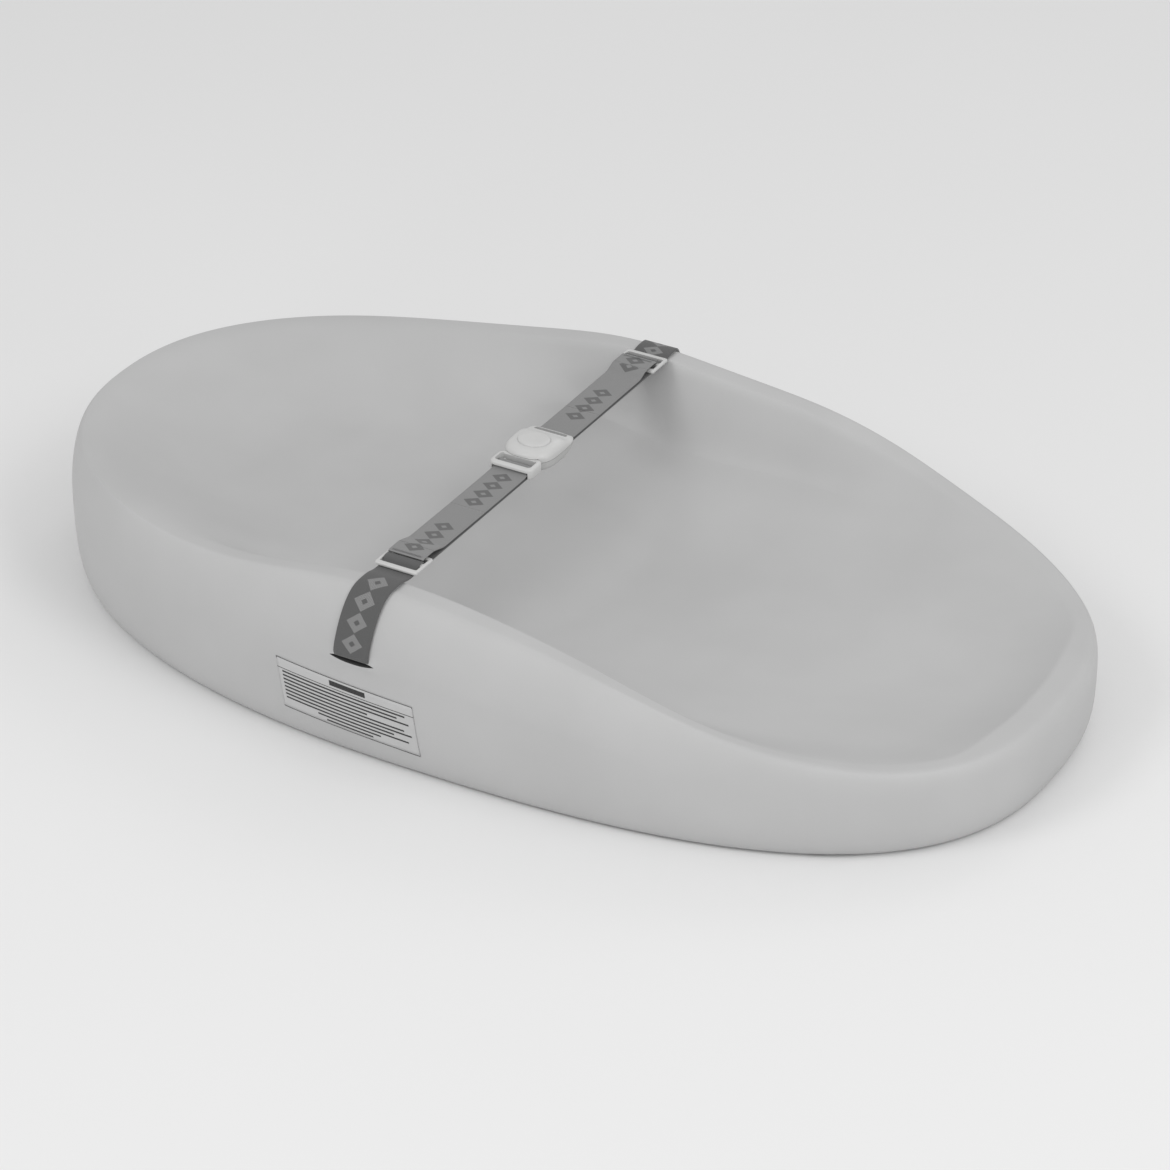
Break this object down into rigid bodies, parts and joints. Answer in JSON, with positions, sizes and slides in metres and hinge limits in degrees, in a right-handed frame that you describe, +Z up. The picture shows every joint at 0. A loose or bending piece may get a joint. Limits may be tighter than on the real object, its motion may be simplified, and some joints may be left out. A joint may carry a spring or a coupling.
{
  "type": "baby changing pad",
  "caption": "Contoured oval foam changing pad with raised hip walls and a two-part webbing safety strap closed by a push-button buckle.",
  "frame": {"origin": "middle of the flat underside, on the surface the pad rests on", "axes": "+X towards the foot end, -Y the side with the information panel, +Z up"},
  "size_m": [0.74, 0.4204, 0.1376],
  "materials": {
    "foam_skin": "satin skin of moulded polyurethane foam",
    "panel_print": "printed panel",
    "webbing": "woven webbing",
    "thread": "sewing thread",
    "white_plastic": "satin moulded plastic",
    "anchor_plastic": "matt",
    "spring_steel": "plain wire"
  },
  "bodies": {
    "pad": {"foam_body": "foam_skin", "info_panel": "panel_print", "near_anchor_plate": "anchor_plastic", "far_anchor_plate": "anchor_plastic", "near_anchor_stitch": "thread", "far_anchor_stitch": "thread", "near_webbing_riser": "webbing", "far_webbing_riser": "webbing"},
    "near_strap": {"near_webbing_loop": "webbing"},
    "near_slider_body": {"near_slider": "white_plastic", "near_bar_tack": "thread"},
    "tongue": {"buckle_tongue": "white_plastic"},
    "far_strap": {"far_webbing_loop": "webbing", "buckle_base": "white_plastic", "buckle_cover": "white_plastic", "button_spring": "spring_steel"},
    "far_slider_body": {"far_slider": "white_plastic", "far_bar_tack": "thread"},
    "button": {"release_button": "white_plastic"}
  },
  "joints": [
    {"name": "near_strap_swing", "type": "hinge", "parent": "pad", "child": "near_strap", "pos_m": [-0.0322, -0.1844, 0.1276], "axis": [1, 0, 0], "range_deg": [0, 170]},
    {"name": "tongue_slide", "type": "slide", "parent": "near_strap", "child": "tongue", "axis": [0, -1, 0], "range_m": [0, 0.026], "deforming": ["near_webbing_loop"]},
    {"name": "near_slider_slide", "type": "slide", "parent": "near_strap", "child": "near_slider_body", "axis": [0, 1, 0], "range_m": [0, 0.045], "deforming": ["near_webbing_loop"]},
    {"name": "far_strap_swing", "type": "hinge", "parent": "pad", "child": "far_strap", "pos_m": [-0.0322, 0.1844, 0.1276], "axis": [-1, 0, 0], "range_deg": [0, 170]},
    {"name": "far_slider_slide", "type": "slide", "parent": "far_strap", "child": "far_slider_body", "axis": [0, -1, 0], "range_m": [0, 0.045], "deforming": ["far_webbing_loop"]},
    {"name": "release_button_press", "type": "slide", "parent": "far_strap", "child": "button", "axis": [0, 0, -1], "range_m": [0, 0.0021], "stiffness_N_per_m": 400, "deforming": ["button_spring"]}
  ]
}
